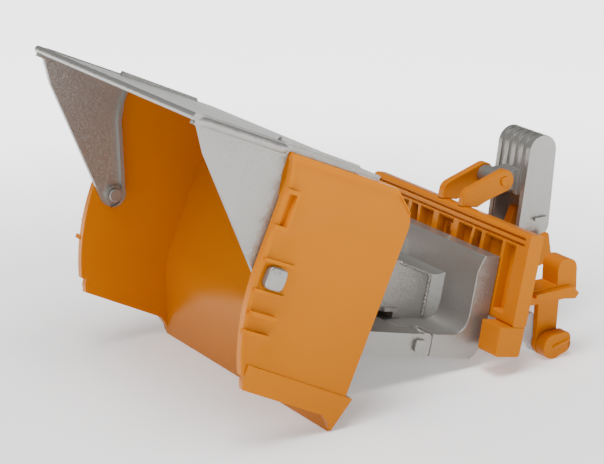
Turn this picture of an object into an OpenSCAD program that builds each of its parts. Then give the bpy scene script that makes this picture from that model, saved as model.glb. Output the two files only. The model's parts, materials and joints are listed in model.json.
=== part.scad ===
// Front-mounted box snow plough attachment of a 1:16 toy vehicle.
// +X runs along the blade, +Y points back to the vehicle, +Z is up.
// The origin is the middle of the cutting edge, where it rests on the floor.

/* [Blade] */
// Width over the two cheeks
blade_w = 180; // [150:1:216]
// How far the blade leans back, in degrees
blade_lean = 24; // [20:1:27]
// Height of the upright toe below the knee of the mouldboard
toe_h = 44; // [38:1:53]
// Length of the leaning part of the mouldboard
wall_len = 92; // [78:1:111]
// Wall thickness of the mouldboard and the cheeks
wall_t = 3; // [2.5:0.1:3.6]
// Distance from the mouldboard forward to the cheeks' front edges
cheek_depth = 64; // [54:1:77]
// Distance that the cheeks reach back past the mouldboard's face
cheek_tail = 20; // [16:1:24]

/* [Hood] */
// Reach of the hood in front of the cheeks
hood_reach = 62; // [50:1:75]
// Height of the hood's pivot above the knee of the mouldboard
pivot_rise = 29.5; // [25:0.5:35]
// Thickness of the hood's top panel and side plates
hood_t = 2.8; // [2.4:0.1:3.4]
// Side of the square heads of the hood's pins
head_size = 11.5; // [9:0.5:14]

/* [Carriage] */
// Distance from the cutting edge back to the mounting frame
reach = 119.5; // [112:0.5:143]
// How far the carriage and the frame lean back, in degrees
frame_lean = 12; // [10:0.5:14]
// Width of the carriage
carriage_w = 110; // [92:1:112]
// Thickness of the carriage's upright leg
leg_t = 14; // [12:0.5:17]
// Width of the middle block on the carriage
block_w = 48; // [40:1:58]
// Radius of the tilt pins and the hood pins
pin_r = 3; // [2.5:0.1:3.6]
// Radius of the king pin between the carriage and the frame
king_r = 8; // [6.6:0.1:9.6]

/* [Frame] */
// Width of the mounting frame
frame_w = 153; // [145:1:184]
// Depth of the mounting frame over the pads that carry the hooks
frame_d = 15; // [13:0.5:18]
// Depth of the frame's posts and rails
post_d = 9.5; // [8:0.5:11.5]
// Height of the mounting frame without its feet
frame_h = 53; // [50:1:60]
// Distance between the middles of the two link arms
arm_gap = 19.6; // [17:0.2:23]
// Thickness of each link arm
arm_t = 5; // [4:0.5:6]

/* [Coupling] */
// Width of the ribbed hand lever
lever_w = 30; // [28:1:34]
// Number of fins on the hand lever
fin_count = 5; // [4:1:6]
// Distance between the middles of the two rear hooks
hook_gap = 116; // [104:1:124]
// Width of each rear hook
hook_w = 14; // [12:0.5:16]
// Radius of the round end caps that stand on the floor
cap_r = 7.5; // [7:0.1:9]
// Radius of the latch shaft
shaft_r = 3; // [2.5:0.1:3.6]

/* [Hidden] */
$fn = 48;
orange = "#e08a2c";
silver = "#b9bbbd";
grey = "#cfd2d4";
run = 0.05;      // radial clearance of a shaft that turns
gap = 0.5;       // clearance between bodies that pass each other

// Blade frame: Y' runs back and Z' up along the leaning mouldboard, from the cutting edge
wall_y = -toe_h * sin(blade_lean);
knee_z = toe_h * cos(blade_lean);
top_z = knee_z + wall_len;
front_y = wall_y - cheek_depth;
tail_y = wall_y + cheek_tail;
half_w = blade_w / 2;
cheek_x = half_w - wall_t;
bead = 1;                        // how far the cheeks' rims stand out
margin = 3.2;                    // width of the cheeks' rims
pivot = [front_y + 11.4, knee_z + pivot_rise];
skirt_z = 0.45 * toe_h;          // height of the skirt's fold at the tail
skirt_h = 12.9;                  // depth of the skirt
skirt_rise = 2.8;                // the fold's rise towards the front, in degrees
skirt_in = 6;                    // how far the skirt leans in, in degrees

// Hood, in the blade frame
hood_x = cheek_x - gap;
hood_z = top_z + 3;
lip_y = front_y - hood_reach;
foot_r = 7.3;
rim_h = 6.5;

// Leaning frame of the carriage and the mounting frame, from the same cutting edge
leg_y = reach - 0.4;
leg_top = 90;
leg_low = 30;
tilt = [73.5, 37.6];
tilt_r = 6.6;
carriage_x = carriage_w / 2;
ear_w = 14.5;
tongue_x = carriage_x - ear_w - gap;
seam_y = tilt.x + 8.8;
block_x = block_w / 2;
king_z = 67;

rear_y = reach + frame_d;
frame_x = frame_w / 2;
post_w = 10.5;
frame_low = 55;
frame_top = frame_low + frame_h;
rail_h = 10;
arm_x = arm_gap / 2 - arm_t / 2;
link = [reach + 27.8, frame_top + 16.6];
link_r = 6.7;
link_pin_r = 2;

// Floor frame of the coupling parts behind the mounting frame
function to_floor(p) = [p.x * cos(frame_lean) + p.y * sin(frame_lean),
    -p.x * sin(frame_lean) + p.y * cos(frame_lean)];
function to_lean(p) = [p.x * cos(frame_lean) - p.y * sin(frame_lean),
    p.x * sin(frame_lean) + p.y * cos(frame_lean)];
link_floor = to_floor(link);
shaft_y = to_floor([rear_y, 45]).x + 24.3;
shaft = [shaft_y, cap_r];
hook_x = hook_gap / 2;
gusset_t = 4;
gusset_x = hook_x - hook_w / 2 + 5.5;
latch_t = 5.5;
latch_x = gusset_x - gap - latch_t;
cap_x = gusset_x + gusset_t + gap;
cap_t = 7.5;
guard_x = lever_w / 2 + 3;

// A quarter-like bend from a to c, drawn towards b
function bend(a, b, c, n = 8) =
    [for (i = [0 : n]) let (t = i / n) (1 - t) * (1 - t) * a + 2 * t * (1 - t) * b + t * t * c];
// Points of an arc about c, from angle a0 to a1
function arc(c, r, a0, a1, n = 10) =
    [for (i = [0 : n]) let (a = a0 + (a1 - a0) * i / n) c + r * [cos(a), sin(a)]];

// Extrudes a Y-Z outline along X: across() is centred, plate() starts at x0
module plate(x0, t) translate([x0, 0, 0]) rotate([90, 0, 90]) linear_extrude(t) children();
module across(w) plate(-w / 2, w) children();
module lean() rotate([-blade_lean, 0, 0]) children();
module nod() rotate([-frame_lean, 0, 0]) children();
module on(side) mirror([side < 0 ? 1 : 0, 0, 0]) children();
// A rod along X from x0 to x1, through the point p = [y, z]
module rod(p, r, x0, x1) translate([x0, p.x, p.y]) rotate([0, 90, 0]) cylinder(r = r, h = x1 - x0);
// A rod along Y from y0 to y1, at the height z above the middle of the frame it is drawn in
module post(x, z, r, y0, y1) translate([x, y0, z]) rotate([-90, 0, 0]) cylinder(r = r, h = y1 - y0);
module rounded_square(s, r) {
    square([s - 2 * r, s], center = true);
    square([s, s - 2 * r], center = true);
    for (i = [-1, 1], j = [-1, 1]) translate([i, j] * (s / 2 - r)) circle(r);
}

// ---- Blade ----
module cheek_outline() polygon(concat(
    [[tail_y - 2, skirt_z], [tail_y - 1.5, top_z - 18]],
    bend([tail_y - 1.5, top_z - 18], [tail_y - 2.5, top_z - 11], [tail_y - 7, top_z - 8]),
    [[wall_y + 2, top_z], [front_y - 2, top_z]],
    bend([front_y - 3.2, top_z - 2], [front_y, top_z - 8], [front_y, top_z - 16]),
    bend([front_y, pivot.y], [front_y + 1, pivot.y - 28], [front_y + 13, skirt_z - 2], 12)));

module skirt_outline() polygon([[2, 0], [-cheek_depth - 5, 0.5], [-cheek_depth - 3.5, -9],
    [-cheek_depth - 1.4, -skirt_h], [-11.5, -skirt_h], [-6, -skirt_z + 4], [-3.5, -skirt_z + 0.8],
    [-1.8, -skirt_z - 0.2]]);

module skirt() translate([half_w, tail_y, skirt_z + 0.2])
    rotate([-skirt_rise, 0, 0]) rotate([0, skirt_in, 0])
    plate(-wall_t, wall_t + 0.9) skirt_outline();

// A block on the cheek's outer face, at [y, z] of the blade frame, that stands out by d
module cheek_block(p, size, d) translate([half_w - 0.5, p.x, p.y]) cube([d + 0.5, size.x, size.y]);
// Two ledges below the hood's pin, two beside its head and a clip above it
module cheek_lugs() {
    for (z = [-31, -21]) cheek_block([front_y + 4, pivot.y + z], [16, 2.4], 4.5);
    for (z = [-9, 7.2]) cheek_block([front_y + 2, pivot.y + z], [19, 1.8], 2.5);
    for (z = [24, 43]) cheek_block([front_y - 0.3, pivot.y + z], [8.5, 2.2], 3.5);
    cheek_block([front_y + 6.2, pivot.y + 24], [2, 21.2], 3.5);
}

module cheek(side) color(orange) on(side) difference() {
    lean() {
        plate(cheek_x, wall_t) cheek_outline();
        plate(half_w - 0.5, bead + 0.5) difference() {
            cheek_outline();
            translate([margin, -margin]) cheek_outline();
        }
        skirt();
        cheek_lugs();
    }
    lean() rod(pivot, pin_r, cheek_x - 1, half_w + 1);
}

module wall_outline() {
    back = wall_t / cos(blade_lean);
    polygon(concat([[wall_t / 2, 0], [-wall_t / 2, 0]],
        bend([-wall_t / 2, toe_h - 9], [-wall_t / 2, toe_h], to_up(9, 0)),
        [to_up(wall_len, 0), to_up(wall_len, wall_t)],
        bend(to_up(9, wall_t), to_up(0, back), [wall_t / 2, toe_h - 9])));
}
// A point of the leaning mouldboard, d along it from the knee and t behind its face
function to_up(d, t) = [-wall_t / 2 + d * sin(blade_lean) + t * cos(blade_lean),
    toe_h + d * cos(blade_lean) - t * sin(blade_lean)];

// The mouldboard, with a flange at its top that reaches under the hood's rear edge
module mouldboard() color(orange) difference() {
    across(2 * cheek_x) union() {
        wall_outline();
        polygon([to_up(wall_len, 1), to_up(wall_len - 2.6, 1), to_up(wall_len - 2.6, -8.5), to_up(wall_len, -8.5)]);
    }
    for (side = [-1, 1]) on(side) lean() skirt();
}

rib_count = 4;
rib_d = 11;
module back_ribs() color(orange) for (i = [0 : rib_count - 1])
    translate([(i - (rib_count - 1) / 2) * blade_w / 4.6, 0, 0]) across(2.5)
        polygon([to_up(16, wall_t), to_up(20, wall_t + rib_d), to_up(wall_len - 12, wall_t + rib_d),
            to_up(wall_len - 4, wall_t)]);

// The bracket behind the mouldboard: a thin roof, and an ear at each end for the tilt pins
bracket_low = 30.5;
bracket_top = 44.6;
roof_t = 4;
roof_end = tilt.x - tilt_r - 1.2;
// Height of the bracket's sloping top at a distance y from the cutting edge
function roof_z(y) = bracket_top + 1.4 - 2.2 * (y - 9) / (seam_y - 12);
module roof_outline() polygon([[9, bracket_top - roof_t], [roof_end, bracket_top - roof_t],
    [roof_end, roof_z(roof_end)], [9, roof_z(9)]]);
module ear_outline() {
    polygon([[9, bracket_low + 1.8], [seam_y - 3, bracket_low], [seam_y - 3, roof_z(seam_y - 3)],
        [9, roof_z(9)]]);
    polygon(concat([[seam_y - 6.5, tilt.y - 7], [seam_y - 6.5, tilt.y + 7]],
        arc([seam_y - 3.75, tilt.y + 3.8], 3.1, 90, 0), arc([seam_y - 3.75, tilt.y - 3.9], 3.1, 0, -90)));
}
module bracket_base() polygon([[wall_t / 2, toe_h - 17], [wall_t / 2, toe_h - 9], to_up(6, wall_t + 1.2),
    to_up(13, wall_t + 1), to_floor([13, roof_z(13)]), to_floor([13, bracket_low + 1])]);
module tilt_bracket() color(silver) difference() {
    union() {
        nod() across(carriage_w) roof_outline();
        for (side = [-1, 1]) on(side) nod() plate(carriage_x - ear_w, ear_w) difference() {
            ear_outline();
            translate(tilt) circle(pin_r + run);
        }
        across(carriage_w) bracket_base();
    }
    screw_holes();
}
screw_r = 1.5;
screw_z = toe_h - 13;
screw_x = carriage_x - 22;
head_y = 7;
module screw_holes() for (x = [-screw_x, screw_x]) {
    post(x, screw_z, screw_r, 0, 30);
    post(x, screw_z, 3, head_y, 40);
}
// A cross-shaped slot in a screw's head, cut forward from y
module cross_slot(x, z, y, w, t) for (a = [0, 90])
    translate([x, y, z]) rotate([0, a, 0]) cube([w, 2, t], center = true);
module bracket_screws() color(silver) for (x = [-screw_x, screw_x]) difference() {
    union() {
        post(x, screw_z, screw_r, wall_t / 2, head_y);
        post(x, screw_z, 2.8, head_y, head_y + 2);
    }
    cross_slot(x, screw_z, head_y + 2.2, 3.4, 0.7);
}

// ---- Hood ----
module hood_side_outline() {
    translate(pivot) circle(foot_r);
    polygon([pivot + [-5.2, -5], pivot + [6.9, 2], [front_y - 0.5, pivot.y + 41], [front_y - 3, pivot.y + 52],
        [front_y - 3, hood_z - 1], [lip_y + 1.5, hood_z - 1], [lip_y + 1.5, hood_z - 3],
        [lip_y + 12.5, hood_z - 17.5]]);
}
// A stiffening edge that stands in from the side plate along its front
module hood_edge_outline() difference() {
    hood_side_outline();
    translate([-2.2, -0.6]) hood_side_outline();
    translate([lip_y - 1, hood_z - 60]) square([hood_reach - 3.5, 61]);
}
// The rounded band along the top of the side plate
module hood_rim_outline() polygon(concat([[lip_y, hood_z + 0.3], [lip_y, hood_z - rim_h + 1]],
    arc([front_y - 7.6, hood_z - rim_h / 2 + 0.15], rim_h / 2 + 0.15, -90, 90)));
// The raised rail on the rear half of the top
module hood_rail_outline() polygon([[front_y - 10, hood_z - 0.2], [front_y - 9, hood_z + 2.3],
    [wall_y - 22, hood_z + 1.6], [wall_y - 20.5, hood_z - 0.2]]);

module hood() color(silver) lean() difference() {
    union() {
        across(2 * hood_x) translate([lip_y, hood_z - hood_t]) square([wall_y - 8 - lip_y, hood_t]);
        rod([lip_y, hood_z - 1.6], 1.9, -hood_x - 1.5, hood_x + 1.5);
        for (side = [-1, 1]) on(side) {
            plate(hood_x - hood_t, hood_t) hood_side_outline();
            plate(hood_x - hood_t - 2.2, 2.3) hood_edge_outline();
            plate(hood_x - hood_t, hood_t + 1.5) hood_rim_outline();
            plate(hood_x - 4, 3) hood_rail_outline();
            rod(pivot, 5.2, hood_x - hood_t - 2, hood_x);
        }
    }
    for (side = [-1, 1]) on(side) rod(pivot, pin_r + run, hood_x - 8, hood_x + 2);
}

head_t = 4;
module hood_pin(side) color(silver) on(side) lean() {
    rod(pivot, pin_r, hood_x - hood_t - 3.2, half_w + 0.5);
    rod(pivot, pin_r + 0.8, hood_x - hood_t - 4, hood_x - hood_t - 2.5);
    plate(half_w, head_t - 1) translate(pivot) rounded_square(head_size, 3);
    plate(half_w + head_t - 1.5, 1.5) translate(pivot) rounded_square(head_size - 1.6, 2.6);
}

// ---- Carriage ----
module leg_outline() polygon(concat(
    [[leg_y, leg_low + 15], [leg_y, leg_top], [leg_y - leg_t + 3.5, leg_top]],
    [[leg_y - leg_t, leg_top - 9], [leg_y - leg_t, leg_low + 25]],
    bend([leg_y - leg_t, leg_low + 24], [leg_y - leg_t - 1, leg_low + 15], [leg_y - leg_t - 8, block_low]),
    [[seam_y, block_low], [seam_y, leg_low + 0.9]],
    bend([leg_y - 8, leg_low - 0.5], [leg_y - 1, leg_low + 4], [leg_y, leg_low + 14.9])));
module tongue_outline() {
    translate(tilt) circle(tilt_r);
    polygon([[tilt.x, tilt.y - tilt_r], [seam_y + 1, leg_low + 0.9], [seam_y + 1, block_low],
        [tilt.x, block_low]]);
}
pin_in = 20;      // how far the tilt pins reach into the tongue
bolt_in = 10;     // how far the king screw reaches into the leg
module carriage() color(silver) nod() difference() {
    union() {
        across(carriage_w) leg_outline();
        across(2 * tongue_x) tongue_outline();
    }
    for (side = [-1, 1]) on(side) rod(tilt, pin_r, tongue_x - pin_in, tongue_x + 1);
    post(0, king_z, bolt_r, leg_y - bolt_in, leg_y + 1);
}

// The middle block fills the corner between the tongue and the leg, and flares at the leg
block_y = tilt.x - 12;
block_top = 81;
block_low = tilt.y + tilt_r;
leg_face = leg_y - leg_t;
module block_outline() polygon(concat([[leg_face, leg_low + 27], [leg_face, block_top - 8.5]],
    bend([leg_face - 0.1, block_top - 8.5], [leg_face - 3, block_top - 10.5], [leg_face - 7, block_top - 10.5], 4),
    [[block_y, block_top], [block_y, bracket_top + 3.6], [tilt.x + 2, bracket_top + 3.6], [tilt.x + 2, block_low]],
    bend([leg_face - 8, block_low], [leg_face - 1, leg_low + 15], [leg_face, leg_low + 24])));
flare = 3.5;
module flare_outline() polygon([[block_x - 1, leg_face - 8], [block_x, leg_face - 8],
    [block_x + flare, leg_face + 1], [block_x - 1, leg_face + 1]]);
module centre_block() color(silver) nod() {
    across(block_w) block_outline();
    intersection() {
        across(block_w + 2 * flare) block_outline();
        for (side = [-1, 1]) on(side) translate([0, 0, leg_low]) linear_extrude(60) flare_outline();
    }
    for (side = [-1, 1]) on(side) plate(block_x - 1, 4)
        translate([block_y + 5.5, block_top - 32.5]) square([10, 2]);
}

bolt_r = 2.5;
washer_t = 2;
pin_end = leg_y + frame_d + 0.8;
hub_r = king_r + 4;
module king_pin() color(silver) nod() difference() {
    post(0, king_z, king_r, leg_y, pin_end);
    post(0, king_z, bolt_r, leg_y - 1, pin_end + 1);
}
module king_washer() color(grey) nod() difference() {
    post(0, king_z, hub_r, pin_end, pin_end + washer_t);
    post(0, king_z, bolt_r, pin_end - 1, pin_end + washer_t + 1);
}
module king_screw() color(grey) nod() difference() {
    union() {
        post(0, king_z, bolt_r, leg_y - bolt_in, pin_end + washer_t);
        post(0, king_z, 4.5, pin_end + washer_t, pin_end + washer_t + 2.5);
    }
    cross_slot(0, king_z, pin_end + washer_t + 2.5, 5.5, 1);
}

module tilt_pin(side) color(silver) on(side) nod() {
    rod(tilt, pin_r, tongue_x - pin_in, carriage_x + 0.5);
    plate(carriage_x + 0.3, 1.9) translate(tilt) rounded_square(7.2, 1.8);
}

// ---- Mounting frame ----
post_y = reach + post_d;
module rail_outline(low, high, r) polygon(concat(
    arc([reach + r, low + r], r, 180, 270, 4), arc([post_y - r, low + r], r, -90, 0, 4),
    arc([post_y - r, high - r], r, 0, 90, 4), arc([reach + r, high - r], r, 90, 180, 4)));
web_t = 3;
web_y = post_y - web_t - 0.5;
// A pad behind the web, from x0 to x1, where other pieces are moulded on
module pad(x0, x1) plate(x0, x1 - x0) translate([web_y, frame_low]) square([rear_y - web_y, frame_h - 16]);
window_z = frame_top - rail_h - 8.5;
// An upright rib on the front of the web, x0 at its foot and x1 at its top
module rib(x0, x1, t) translate([0, web_y + 1, 0]) rotate([90, 0, 0]) linear_extrude(web_y + 1 - reach)
    polygon([[x0 - t / 2, frame_low + 3], [x0 + t / 2, frame_low + 3], [x1 + t / 2, frame_top - 3],
        [x1 - t / 2, frame_top - 3]]);

module mount_frame() color(orange) nod() difference() {
    union() {
        across(frame_w) rail_outline(frame_top - rail_h, frame_top, 2.2);
        across(frame_w) rail_outline(frame_low, frame_low + 6, 1.5);
        across(frame_w - 2) translate([web_y, frame_low + 1]) square([web_t, frame_h - 2]);
        post(0, king_z, hub_r, reach, rear_y);
        pad(-5, 5);
        for (side = [-1, 1]) on(side) {
            plate(frame_x - post_w, post_w) rail_outline(frame_low, frame_top, 2.2);
            pad(hook_x - hook_w / 2 - 2, hook_x + hook_w / 2 + 2);
            pad(guard_x - 3, guard_x + 6);
            rib(arm_gap / 2, arm_gap / 2, arm_t);
            rib(0.28 * frame_x, 0.36 * frame_x, 2.5);
            rib(0.47 * frame_x, 0.47 * frame_x, 3);
            rib(0.72 * frame_x, 0.72 * frame_x, 2.5);
        }
    }
    post(0, king_z, king_r + run, reach - 1, rear_y + 1);
    for (z = [7.6, 4.2]) translate([4 - frame_x, reach - 1, frame_top - z]) cube([frame_w - 8, 2.6, 1.4]);
    translate([0, web_y - 1, window_z]) rotate([-90, 0, 0]) linear_extrude(web_t + 2)
        rounded_square(2 * arm_x - 3.2, 2.5);
}

module foot(side) color(orange) on(side) nod() plate(frame_x - 17, 17) translate([reach, frame_low])
    polygon([[-8, -16.5], [-7, -17.5], [8.2, -17.5], [9.2, -16.5], [9.2, 0], [-8.6, 0]]);

link_side = (link_r - 0.02) * [cos(118), sin(118)];
module link_arm_outline() polygon(concat([[reach + 0.3, frame_top]],
    bend([reach + 0.3, frame_top + 5], [reach + 0.3, frame_top + 8.5], [reach + 3.5, frame_top + 10.5], 4),
    [link + link_side, link + [2, 1]],
    bend(link - link_side, [reach + 19, frame_top + 5.5], [reach + 11.5, frame_top])));
module link_arm(side) color(orange) on(side) nod() difference() {
    union() {
        rod(link, link_r, arm_x, arm_x + arm_t);
        plate(arm_x, arm_t) link_arm_outline();
    }
    rod(link, link_pin_r, arm_x - 1, arm_x + arm_t + 1);
}
module link_pin() color(orange) nod() {
    rod(link, link_pin_r, -arm_x - arm_t, arm_x + arm_t);
    for (side = [-1, 1]) on(side) rod(link, link_pin_r + 0.9, arm_x + arm_t, arm_x + arm_t + 1.2);
}

// The lug that the hollow lever closes over
module lock_lug() color(orange) nod() across(6) translate([rear_y, frame_top]) polygon(concat(
    [[0, -19], [0, -26], [36, -20], [37.5, -10]],
    bend([37.5, -5], [37.5, 0.7], [34.5, 0.6]), [[32.5, -0.6], [30.5, -10], [27, -14]]));

module lever_guard(side) color(orange) on(side) nod() plate(guard_x, 4) translate([rear_y, frame_low])
    polygon([[0, 30], [0, 4], [48, 24], [52, 28.5], [50, 32], [45.8, 42.5], [40, 40]]);

// Height of a hook's underside at a distance y behind the frame
function hook_low(y) = frame_low + 8.6 + 6.6 / 33.5 * y;
// A hook: its seat is level on the floor frame, and a rib stands out of its outer side
module hook_outline() polygon(concat([[0, 21], [0, 8.6]],
    bend([33.5, 15.2], [37, 16], [36.6, 19], 4), bend([34, 31], [33, 38.5], [26, 38]),
    bend([25.9, 38], [18.9, 37], [20.1, 30]),
    [seat_end, seat_end - 19.6 * [1, tan(frame_lean)]]));
seat_end = [21.6, 22.2];
module hook(side) color(orange) on(side) nod() {
    plate(hook_x - hook_w / 2, hook_w) translate([rear_y, frame_low]) hook_outline();
    plate(hook_x, hook_w / 2 + 3.5) translate([rear_y, frame_low])
        polygon([[5, 14.5], [34, 15.6], [36, 19], [31, 22.6], [5, 17]]);
}

// The gusset under each hook carries the latch shaft, and stands on the floor
module gusset(side) color(orange) on(side) difference() {
    hub = to_lean(shaft);
    nod() plate(gusset_x, gusset_t) difference() {
        union() {
            translate(hub) circle(cap_r);
            polygon([[rear_y + 14, hook_low(14)], hub + [-7, 1], hub + [7.4, 1], [rear_y + 29, hook_low(29)]]);
        }
        translate(hub) circle(shaft_r + run);
    }
    translate([0, 0, -50]) cube([400, 600, 100], center = true);
}

// ---- Hand lever ----
lever_top = link_floor + [25.5, 14.8];
lever_r = 9.8;
lever_foot = link_floor.y - 37;
// The lever's side view; at its rounded top and down its front, it lies d inside the fins' edge
module lever_outline(d = 0) polygon(concat(
    arc(lever_top, lever_r - d, 0, 180, 16),
    [[link_floor.x + 9.4 + d, lever_foot + 9]],
    bend([link_floor.x + 9.4, lever_foot + 9], [link_floor.x + 10, lever_foot], [link_floor.x + 20, lever_foot]),
    bend([link_floor.x + 25, lever_foot], [link_floor.x + 32, lever_foot + 1],
        [lever_top.x + lever_r - 3.4, lever_foot + 9])));

fin_t = lever_w / (2 * fin_count - 1);
hub_w = 2 * arm_x - 0.6;
fin_depth = 1.1;
module hand_lever() color(silver) difference() {
    union() {
        for (i = [0 : fin_count - 1]) plate(-lever_w / 2 + 2 * i * fin_t, fin_t) lever_outline();
        across(lever_w) lever_outline(fin_depth);
        rod(link_floor, 5.6, -hub_w / 2, hub_w / 2);
        across(hub_w) translate(link_floor) polygon([[-1, 3.5], [-1, -5.4], [13, -9], [17, 4]]);
        for (side = [-1, 1]) on(side) plate(lever_w / 2 - 0.1, 1.9)
            translate(link_floor + [20, -26.5]) square([9, 1.8]);
    }
    rod(link_floor, link_pin_r + run, -lever_w, lever_w);
    across(lever_w - 8) translate([link_floor.x + 4, lever_foot - 1]) square([17, 27]);
}

// ---- Latch ----
shaft_end = cap_x + cap_t - 2;
module latch_shaft() color(grey) rod(shaft, shaft_r, -shaft_end, shaft_end);

latch_gap = 4.62;     // between the latch's tip and the underside of the hook
latch_h = to_floor([rear_y + 10, frame_low + 10.6]).y - shaft.y - latch_gap;
module latch_outline() scale([1, latch_h / 22]) polygon(concat([[-5.2, -4.4], [-12, 3], [-19, 9]],
    bend([-20.5, 15], [-20, 22.5], [-15.5, 22]), bend([-13.5, 18], [-12, 16], [-10, 17]),
    bend([-8, 18.5], [-5.5, 19], [-5, 15.5]), [[2.5, 11], [6.4, 2.5], [2, -5]]));
module latch(side) color(grey) on(side) difference() {
    union() {
        rod(shaft, cap_r - 0.2, latch_x, latch_x + latch_t);
        plate(latch_x, latch_t) translate(shaft) latch_outline();
    }
    rod(shaft, shaft_r, latch_x - 1, latch_x + latch_t + 1);
}

module cap_outline() {
    circle(cap_r);
    polygon(concat([[0, 7.4], [0, -7.4]], bend([7.5, -5.4], [12, -4.6], [12.2, 0]),
        bend([12.2, 3], [11.8, 7.6], [7.5, 7.6])));
}
module end_cap(side) color(orange) on(side) difference() {
    union() {
        plate(cap_x, cap_t) translate(shaft) cap_outline();
        plate(cap_x + cap_t - 0.1, 1.3) translate(shaft) rotate(12) translate([-1, -0.8]) square([12, 1.9]);
    }
    rod(shaft, shaft_r, 0, shaft_end);
}

mouldboard();
cheek(-1);  // cheek_left
cheek(1);  // cheek_right
back_ribs();
tilt_bracket();
bracket_screws();
hood();
hood_pin(-1);  // hood_pin_left
hood_pin(1);  // hood_pin_right
carriage();
centre_block();
king_pin();
king_washer();
king_screw();
tilt_pin(-1);  // tilt_pin_left
tilt_pin(1);  // tilt_pin_right
mount_frame();
foot(-1);  // foot_left
foot(1);  // foot_right
link_arm(-1);  // link_arm_left
link_arm(1);  // link_arm_right
link_pin();
lock_lug();
lever_guard(-1);  // lever_guard_left
lever_guard(1);  // lever_guard_right
hook(-1);  // hook_left
hook(1);  // hook_right
gusset(-1);  // gusset_left
gusset(1);  // gusset_right
hand_lever();
latch_shaft();
latch(-1);  // latch_left
latch(1);  // latch_right
end_cap(-1);  // end_cap_left
end_cap(1);  // end_cap_right
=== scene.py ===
# Toy snow plough attachment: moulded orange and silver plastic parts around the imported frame.
# Lengths are in metres, +X runs along the blade, +Y points back to the vehicle and +Z is up.
import json
import bmesh
import bpy
import numpy as np
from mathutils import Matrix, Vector


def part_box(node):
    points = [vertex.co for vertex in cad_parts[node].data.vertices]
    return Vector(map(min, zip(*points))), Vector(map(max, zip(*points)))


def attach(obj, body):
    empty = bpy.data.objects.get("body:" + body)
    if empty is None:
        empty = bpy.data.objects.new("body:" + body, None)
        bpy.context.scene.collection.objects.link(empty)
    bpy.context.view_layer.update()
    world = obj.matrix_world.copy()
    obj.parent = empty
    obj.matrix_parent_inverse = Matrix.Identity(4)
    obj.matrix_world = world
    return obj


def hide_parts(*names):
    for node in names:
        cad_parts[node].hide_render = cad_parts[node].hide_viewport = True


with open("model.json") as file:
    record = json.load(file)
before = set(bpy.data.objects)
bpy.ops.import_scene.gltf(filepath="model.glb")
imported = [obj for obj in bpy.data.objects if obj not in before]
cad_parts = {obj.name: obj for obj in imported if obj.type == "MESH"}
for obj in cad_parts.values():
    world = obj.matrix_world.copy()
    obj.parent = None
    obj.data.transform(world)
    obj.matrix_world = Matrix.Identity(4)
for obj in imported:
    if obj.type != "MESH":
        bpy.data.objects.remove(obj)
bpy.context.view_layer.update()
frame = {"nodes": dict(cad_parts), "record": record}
MM = 0.001


# ---- Cheeks, ribs and mounting frame: orange parts ----
# Each is one injection moulding in orange ABS. The mould leaves every edge with a small round,
# a faint spark-eroded grain on the faces, and a colour that drifts a little with the flow.
def linear(hex_code):
    """sRGB hex to linear RGBA: c / 12.92 below 0.04045, else ((c + 0.055) / 1.055) to the power 2.4."""
    c = np.array([int(hex_code[i : i + 2], 16) for i in (1, 3, 5)]) / 255
    lin = np.where(c <= 0.04045, c / 12.92, ((c + 0.055) / 1.055) ** 2.4)
    return (*map(float, lin), 1.0)


def add(tree, kind, values=(), links=(), **settings):
    """Adds a node: settings are its properties, values its unlinked inputs, links its linked ones."""
    n = tree.nodes.new(kind)
    for key, value in settings.items():
        setattr(n, key, value)
    for key, value in dict(values).items():
        n.inputs[key].default_value = value
    for key, socket in dict(links).items():
        tree.links.new(socket, n.inputs[key])
    return n


def moulded_plastic(name, main, drift, grain_mm, grain_depth_mm, rough, drift_mm=45, **shader):
    """Plastic whose colour runs between two near shades and whose gloss follows the mould's grain."""
    m = bpy.data.materials.new(name)
    m.use_nodes = True
    t = m.node_tree
    t.nodes.clear()
    place = add(t, "ShaderNodeTexCoord").outputs["Object"]
    flow = add(t, "ShaderNodeTexNoise", {"Scale": 1 / (drift_mm * MM), "Detail": 2.0}, {"Vector": place})
    shade = add(
        t,
        "ShaderNodeMix",
        {"A": linear(main), "B": linear(drift)},
        {"Factor": flow.outputs["Fac"]},
        data_type="RGBA",
    )
    grain = add(t, "ShaderNodeTexNoise", {"Scale": 1 / (grain_mm * MM), "Detail": 3.0}, {"Vector": place})
    gloss = add(
        t,
        "ShaderNodeMapRange",
        {"To Min": rough - 0.06, "To Max": rough + 0.08},
        {"Value": grain.outputs["Fac"]},
    )
    bump = add(
        t,
        "ShaderNodeBump",
        {"Strength": 0.5, "Distance": grain_depth_mm * MM},
        {"Height": grain.outputs["Fac"]},
    )
    surface = add(
        t,
        "ShaderNodeBsdfPrincipled",
        shader,
        {
            "Base Color": shade.outputs["Result"],
            "Roughness": gloss.outputs["Result"],
            "Normal": bump.outputs["Normal"],
        },
    )
    add(t, "ShaderNodeOutputMaterial", (), {"Surface": surface.outputs["BSDF"]})
    return m


# ABS has an IOR of 1.53; the pigment sits close under the skin, so its highlights are tinted too
orange_abs = moulded_plastic(
    "orange_ABS_moulded", "#c57000", "#bd6700", 1.4, 0.04, 0.30,
    **{"IOR": 1.53, "Specular IOR Level": 0.4, "Specular Tint": (1.0, 0.62, 0.03, 1.0)},
)


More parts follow.
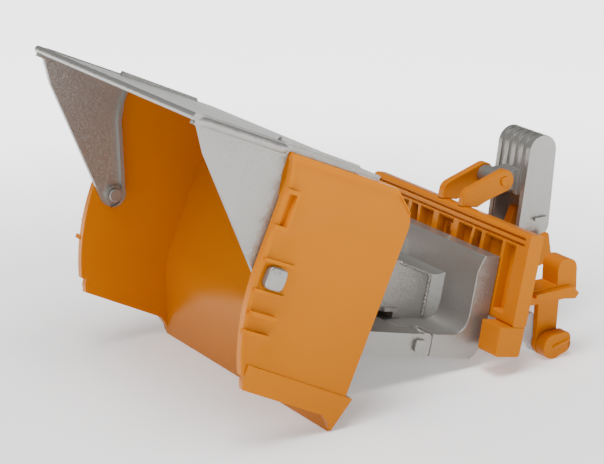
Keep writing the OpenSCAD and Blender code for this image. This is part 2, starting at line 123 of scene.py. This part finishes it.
def moulding(node, edge_mm, material):
    """A CAD node's shape with its loose triangles merged into faces and every sharp edge rounded."""
    mesh = frame["nodes"][node].data.copy()
    mesh.name = node + "_moulded"
    bm = bmesh.new()
    bm.from_mesh(mesh)
    bmesh.ops.remove_doubles(bm, verts=bm.verts, dist=1e-6)
    bmesh.ops.dissolve_limit(bm, angle_limit=np.radians(0.4), verts=bm.verts, edges=bm.edges)
    bm.to_mesh(mesh)
    bm.free()
    mesh.materials.clear()
    mesh.materials.append(material)
    mesh.polygons.foreach_set("use_smooth", np.ones(len(mesh.polygons), bool))
    mesh.set_sharp_from_angle(angle=np.radians(28))
    piece = bpy.data.objects.new(mesh.name, mesh)
    bpy.context.scene.collection.objects.link(piece)
    if edge_mm:
        bevel = piece.modifiers.new("edge_round", "BEVEL")
        bevel.width = edge_mm * MM
        bevel.segments = 3
        bevel.limit_method = "ANGLE"
        bevel.angle_limit = np.radians(28)
        bevel.harden_normals = True
    return piece


BODY_OF = {n: b for b, nodes in frame["record"]["behaviour"]["bodies"].items() for n in nodes}


def fit(piece, node):
    """The piece stands for one CAD node: it rides on that node's body, and the node is hidden."""
    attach(piece, BODY_OF[node])
    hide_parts(node)


ORANGE_EDGE = {
    "cheek_left": 0.5, "cheek_right": 0.5, "back_ribs": 0.5, "mount_frame": 0.5, "foot_left": 0.7,
    "foot_right": 0.7, "link_arm_left": 0.6, "link_arm_right": 0.6, "link_pin": 0.4, "lock_lug": 0.5,
    "lever_guard_left": 0.6, "lever_guard_right": 0.6, "hook_left": 0.7, "hook_right": 0.7,
    "gusset_left": 0.5, "gusset_right": 0.5, "end_cap_left": 0.6, "end_cap_right": 0.6,
}  # width of each one's edge rounds, in mm
for node, edge in ORANGE_EDGE.items():
    fit(moulding(node, edge, orange_abs), node)


# ---- Mouldboard ----
# One moulded orange sheet, 3 mm thick, that stands up from its cutting edge, turns back in a
# smooth knee and ends in a flange under the hood. Its ends butt on the two cheeks.
def rounded(corners, radii, steps):
    """A closed outline whose corners are quadratic arcs: P + r(1-t)^2 a + r t^2 b for t in 0..1,
    where a and b point from the corner P to its two neighbours."""
    p = np.array(corners, float)
    a = np.roll(p, 1, 0) - p
    b = np.roll(p, -1, 0) - p
    a /= np.linalg.norm(a, axis=1, keepdims=True)
    b /= np.linalg.norm(b, axis=1, keepdims=True)
    t = np.linspace(0, 1, steps + 1)[None, :, None]
    r = np.array(radii, float)[:, None, None]
    return (p[:, None] + r * (1 - t) ** 2 * a[:, None] + r * t**2 * b[:, None]).reshape(-1, 2)


def rings_to_piece(name, rings, material, smooth_deg=35):
    """A closed skin over rings[k, n, xyz] in mm: quads join each ring to the next, and a flat face
    closes the first and the last."""
    rings = np.asarray(rings, float)
    k, n = rings.shape[:2]
    i = (np.arange(k - 1) * n)[:, None]
    j = np.arange(n)[None]
    j2 = (j + 1) % n
    quads = np.stack([i + j, i + j2, i + n + j2, i + n + j], -1).reshape(-1, 4)
    caps = [list(range(n))[::-1], list(range((k - 1) * n, k * n))]
    mesh = bpy.data.meshes.new(name)
    mesh.from_pydata((rings.reshape(-1, 3) * MM).tolist(), [], quads.tolist() + caps)
    bm = bmesh.new()
    bm.from_mesh(mesh)
    bmesh.ops.recalc_face_normals(bm, faces=bm.faces)
    bm.to_mesh(mesh)
    bm.free()
    mesh.materials.append(material)
    mesh.polygons.foreach_set("use_smooth", np.ones(len(mesh.polygons), bool))
    mesh.set_sharp_from_angle(angle=np.radians(smooth_deg))
    piece = bpy.data.objects.new(name, mesh)
    bpy.context.scene.collection.objects.link(piece)
    return piece


LEAN = np.radians(24)  # how far the sheet above the knee leans back
TOE, WALL = 44.0, 92.0  # height of the knee, and length of the sheet above it
SHEET = 3.0
FLANGE, FLANGE_T = 8.5, 2.6  # how far the top flange reaches forward, and its thickness
ARC_STEPS = 14
COLUMNS = 9


def up(d, t):
    """A point [y, z] that lies d along the leaning sheet from the knee and t behind its front face."""
    return (-SHEET / 2 + d * np.sin(LEAN) + t * np.cos(LEAN), TOE + d * np.cos(LEAN) - t * np.sin(LEAN))


sheet_line = rounded(
    [
        (-SHEET / 2, 0), (-SHEET / 2, TOE), up(WALL - FLANGE_T, 0), up(WALL - FLANGE_T, -FLANGE),
        up(WALL, -FLANGE), up(WALL, SHEET), up(0, SHEET / np.cos(LEAN)), (SHEET / 2, 0),
    ],
    [0.5, 9.0, 1.2, 0.7, 0.7, 0.8, 8.0, 0.5],
    ARC_STEPS,
)
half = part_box("mouldboard")[1].x / MM
across = np.linspace(-half, half, COLUMNS)
mouldboard = rings_to_piece(
    "mouldboard_sheet",
    np.concatenate(
        [
            np.broadcast_to(across[:, None, None], (COLUMNS, len(sheet_line), 1)),
            np.broadcast_to(sheet_line[None], (COLUMNS, len(sheet_line), 2)),
        ],
        -1,
    ),
    orange_abs,
)
fit(mouldboard, "mouldboard")

# ---- Hood, carriage, tilt bracket, pins and hand lever: silver parts ----
# Also ABS, with aluminium flake mixed in: a satin grey body that glitters finely and shows
# pale edges, where the flakes turn with the flow round each corner of the mould.
silver_abs = moulded_plastic(
    "silver_flake_ABS_moulded", "#93928e", "#9c9b97", 1.1, 0.06, 0.36, **{"IOR": 1.53, "Metallic": 0.7}
)
# a real flake is far finer: 0.35 mm is as coarse as it needs to be to show. Each lies at its own
# small angle and catches its own light.
FLAKE_MM, FLAKE_TURN = 0.35, 0.3
silver_tree = silver_abs.node_tree
silver_skin = silver_tree.nodes["Principled BSDF"]
grained_normal = silver_skin.inputs["Normal"].links[0].from_socket
silver_place = add(silver_tree, "ShaderNodeTexCoord").outputs["Object"]
flakes = add(silver_tree, "ShaderNodeTexVoronoi", {"Scale": 1 / (FLAKE_MM * MM)}, {"Vector": silver_place})
centred = add(
    silver_tree,
    "ShaderNodeVectorMath",
    {1: (0.5, 0.5, 0.5)},
    {0: flakes.outputs["Color"]},
    operation="SUBTRACT",
)
tilted = add(
    silver_tree, "ShaderNodeVectorMath", {"Scale": FLAKE_TURN}, {0: centred.outputs[0]}, operation="SCALE"
)
turned = add(
    silver_tree, "ShaderNodeVectorMath", (), {0: grained_normal, 1: tilted.outputs[0]}, operation="ADD"
)
unit = add(silver_tree, "ShaderNodeVectorMath", (), {0: turned.outputs[0]}, operation="NORMALIZE")
silver_tree.links.new(unit.outputs[0], silver_skin.inputs["Normal"])
SILVER_EDGE = {
    "hood": 0.5, "hood_pin_left": 0.4, "hood_pin_right": 0.4, "tilt_bracket": 0.6, "carriage": 0.9,
    "centre_block": 0.8, "king_pin": 0.4, "tilt_pin_left": 0.3, "tilt_pin_right": 0.3, "hand_lever": 0.5,
}
for node, edge in SILVER_EDGE.items():
    fit(moulding(node, edge, silver_abs), node)


# ---- Hood bands and pin crowns ----
# A half-round band runs down each outer side of the hood's roof, and each hood pin ends in a
# rounded square crown, a little domed, so that the mould lets go of it.
FRONT, LIP, ROOF = -81.9, -143.9, 135.2  # the cheeks' front edge, the hood's lip and its roof
HOOD_SIDE = 86.4  # outer face of the hood's side plate, from the middle
BAND_HALF = (2.6, 3.2)  # half width and half height of a band
PIN_AT = (-70.5, 69.7)
CROWN_FOOT, CROWN_HALF, CROWN_DEPTH = 91.5, 5.9, 3.2


def from_lean(x, u, v):
    """Points u back and v up in the blade's leaning frame, turned by -LEAN about X into the part's own."""
    x, u, v = np.broadcast_arrays(x, u, v)
    return np.stack([x, u * np.cos(LEAN) + v * np.sin(LEAN), -u * np.sin(LEAN) + v * np.cos(LEAN)], -1)


def band(name, side, u0, u1, v, wide, high):
    """An ellipse carried from u0 to u1. Near each end its size is sqrt(1 - d^2), where d falls from 1
    at the end to 0 one height away, so it closes round."""
    a = np.linspace(0, np.pi, 19)
    u = (u0 + u1) / 2 - (u1 - u0) / 2 * np.cos(a)
    near_end = np.minimum(u - u0, u1 - u) / high
    size = np.sqrt(np.clip(1 - np.clip(1 - near_end, 0, 1) ** 2, 4e-3, 1))[:, None]
    t = np.linspace(0, 2 * np.pi, 28, endpoint=False)[None]
    x = side * (HOOD_SIDE + wide * size * np.cos(t))
    return rings_to_piece(name, from_lean(x, u[:, None], v + high * size * np.sin(t)), silver_abs)


def crown(name, side, u, v, x0, half_side, depth):
    """Rounded squares |y|^4 + |z|^4 = 1 stacked along X: upright sides, a quarter-round shoulder, and
    a shallow dome of smaller and smaller squares."""
    t = np.linspace(0, 2 * np.pi, 48, endpoint=False)
    c, s = np.cos(t), np.sin(t)
    square = np.stack([np.sign(c) * np.abs(c) ** 0.5, np.sign(s) * np.abs(s) ** 0.5], -1)
    a = np.linspace(0, np.pi / 2, 8)
    size = np.concatenate([[1.0], 0.8 + 0.2 * np.cos(a), [0.6, 0.4, 0.2, 0.03]])
    rise = np.concatenate([[0.0], 0.55 + 0.27 * np.sin(a), [0.9, 0.95, 0.985, 1.0]])
    ring = square[None] * size[:, None, None] * half_side
    x = side * (x0 + depth * rise)[:, None]
    return rings_to_piece(name, from_lean(x, u + ring[..., 0], v + ring[..., 1]), silver_abs)


for side, word in ((-1, "left"), (1, "right")):
    edge_band = band(f"hood_band_{word}", side, LIP + 1, FRONT - 4.4, ROOF - 2.6, *BAND_HALF)
    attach(edge_band, "hood")
    pin_crown = crown(f"hood_pin_crown_{word}", side, *PIN_AT, CROWN_FOOT, CROWN_HALF, CROWN_DEPTH)
    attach(pin_crown, "blade")

# ---- Weld-like beads on the middle block ----
# Moulded beads that copy the look of a welded seam: a thin round rib with small ripples, along
# the block's upper side edge and down the corner where it meets the carriage's leg.
NOD = np.radians(12)  # how far the carriage's leg leans back
BEAD_R, RIPPLE, RIPPLE_PITCH = 0.8, 0.35, 2.4
# along the top edge from its front end, over the corner, then down the leg
BEAD_ROUTE = [(23.9, 74, 76.6), (23.9, 95.5, 70.7), (24.4, 96.6, 69), (24.4, 96.2, 46)]


def from_nod(x, u, v):
    """Points u back and v up in the carriage's leaning frame, turned by -NOD about X into the part's own."""
    return np.stack([x, u * np.cos(NOD) + v * np.sin(NOD), -u * np.sin(NOD) + v * np.cos(NOD)], -1)


def bead(name, side, corners, radius, ripple, pitch):
    """A tube along straight stretches. At the length s its radius is r + a |sin(pi s / pitch)|, and
    towards each end it shrinks with the square root of the distance left, so it closes round."""
    p = np.array(corners, float)
    lengths = np.concatenate([[0], np.cumsum(np.linalg.norm(np.diff(p, axis=0), axis=1))])
    s = np.linspace(0, lengths[-1], int(lengths[-1] / pitch * 8))
    path = np.stack([np.interp(s, lengths, p[:, i]) for i in range(3)], -1)
    path = from_nod(side * path[:, 0], path[:, 1], path[:, 2])
    along = np.gradient(path, axis=0)
    along /= np.linalg.norm(along, axis=1, keepdims=True)
    first = np.cross(along, [1.0, 0, 0])
    first /= np.linalg.norm(first, axis=1, keepdims=True)
    second = np.cross(along, first)
    ends = np.sqrt(np.clip(np.minimum(s, s[-1] - s) / radius, 0.01, 1))
    r = ((radius + ripple * np.abs(np.sin(np.pi * s / pitch))) * ends)[:, None, None]
    t = np.linspace(0, 2 * np.pi, 12, endpoint=False)[None, :, None]
    rings = path[:, None] + r * (np.cos(t) * first[:, None] + np.sin(t) * second[:, None])
    return rings_to_piece(name, rings, silver_abs, 60)


for side, word in ((-1, "left"), (1, "right")):
    seam = bead(f"block_bead_{word}", side, BEAD_ROUTE, BEAD_R, RIPPLE, RIPPLE_PITCH)
    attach(seam, "carriage")

# ---- Latches, latch shaft and washer: light grey parts ----
# Unpainted pale grey acetal, moulded, with a soft waxy sheen. The latches are pushed on the
# shaft, and the washer lies under the head of the king screw.
grey_acetal = moulded_plastic("grey_acetal_moulded", "#c3c6c9", "#bcc0c4", 1.2, 0.03, 0.36, **{"IOR": 1.48})
GREY_EDGE = {"latch_left": 0.5, "latch_right": 0.5, "latch_shaft": 0.4, "king_washer": 0.3}
for node, edge in GREY_EDGE.items():
    fit(moulding(node, edge, grey_acetal), node)

# ---- Screws ----
# Tapping screws with cross-slotted heads, cold-headed steel with a bright zinc plating. Two hold
# the tilt bracket, and one holds the king pin in the carriage's leg.
zinc_steel = moulded_plastic("zinc_plated_steel", "#a8a9ab", "#9d9ea1", 1.0, 0.02, 0.30, **{"Metallic": 1.0})
for node in ("bracket_screws", "king_screw"):
    fit(moulding(node, 0.2, zinc_steel), node)

# ---- Floor, light and camera ----
# A pale sheet of paper under three soft boxes: a large one overhead, one in front that reaches
# under the hood, and one at the right that opens up the carriage.
floor_mesh = bpy.data.meshes.new("floor")
floor_mesh.from_pydata([(-6, -6, 0), (6, -6, 0), (6, 6, 0), (-6, 6, 0)], [], [(0, 1, 2, 3)])
paper = bpy.data.materials.new("white_paper_sweep")
paper.use_nodes = True
paper_shader = paper.node_tree.nodes["Principled BSDF"]
paper_shader.inputs["Base Color"].default_value = linear("#fbfbfb")
paper_shader.inputs["Roughness"].default_value = 0.8
# painted light: the paper glows by itself, weakest near the object and brightest away from it, so the shadow
# near the object stays
paper_tree = paper.node_tree
paper_place = add(paper_tree, "ShaderNodeTexCoord").outputs["Object"]
away = add(paper_tree, "ShaderNodeVectorMath", (), {0: paper_place}, operation="LENGTH")
painted_glow = add(
    paper_tree,
    "ShaderNodeMapRange",
    {"From Min": 0.1, "From Max": 0.7, "To Min": 0.35, "To Max": 2.8},
    {"Value": away.outputs["Value"]},
    interpolation_type="SMOOTHSTEP",
)
paper_shader.inputs["Emission Color"].default_value = (1, 1, 1, 1)
paper_tree.links.new(painted_glow.outputs["Result"], paper_shader.inputs["Emission Strength"])
floor_mesh.materials.append(paper)
floor = bpy.data.objects.new("floor", floor_mesh)
bpy.context.scene.collection.objects.link(floor)

world = bpy.data.worlds.new("studio")
bpy.context.scene.world = world
world.use_nodes = True
world.node_tree.nodes["Background"].inputs["Color"].default_value = (1, 1, 1, 1)
world.node_tree.nodes["Background"].inputs["Strength"].default_value = 0.15


def soft_box(name, place, aim, size, watts):
    """A square area light at place, turned to face aim."""
    lamp = bpy.data.lights.new(name, "AREA")
    lamp.shape = "SQUARE"
    lamp.size = size
    lamp.energy = watts
    box = bpy.data.objects.new(name, lamp)
    box.location = place
    box.rotation_euler = (Vector(aim) - Vector(place)).to_track_quat("-Z", "Y").to_euler()
    bpy.context.scene.collection.objects.link(box)


soft_box("top_box", (0.25, -0.25, 1.6), (0, 0.08, 0.05), 0.8, 30)
soft_box("front_box", (0.3, -0.95, 1.25), (0, 0.0, 0.06), 0.5, 8)
soft_box("side_box", (1.15, -0.6, 0.6), (0, 0.1, 0.06), 0.5, 3.5)

LENS_MM = 124.32
VIEW_FROM = (0.9336, -0.5525, 0.4316)
VIEW_ALONG = (-0.8051511, 0.5094241, -0.30367547)
camera_data = bpy.data.cameras.new("camera")
camera_data.lens = LENS_MM
camera_data.sensor_width = 36
camera = bpy.data.objects.new("camera", camera_data)
camera.location = VIEW_FROM
camera.rotation_euler = Vector(VIEW_ALONG).to_track_quat("-Z", "Y").to_euler()
bpy.context.scene.collection.objects.link(camera)
bpy.context.scene.camera = camera
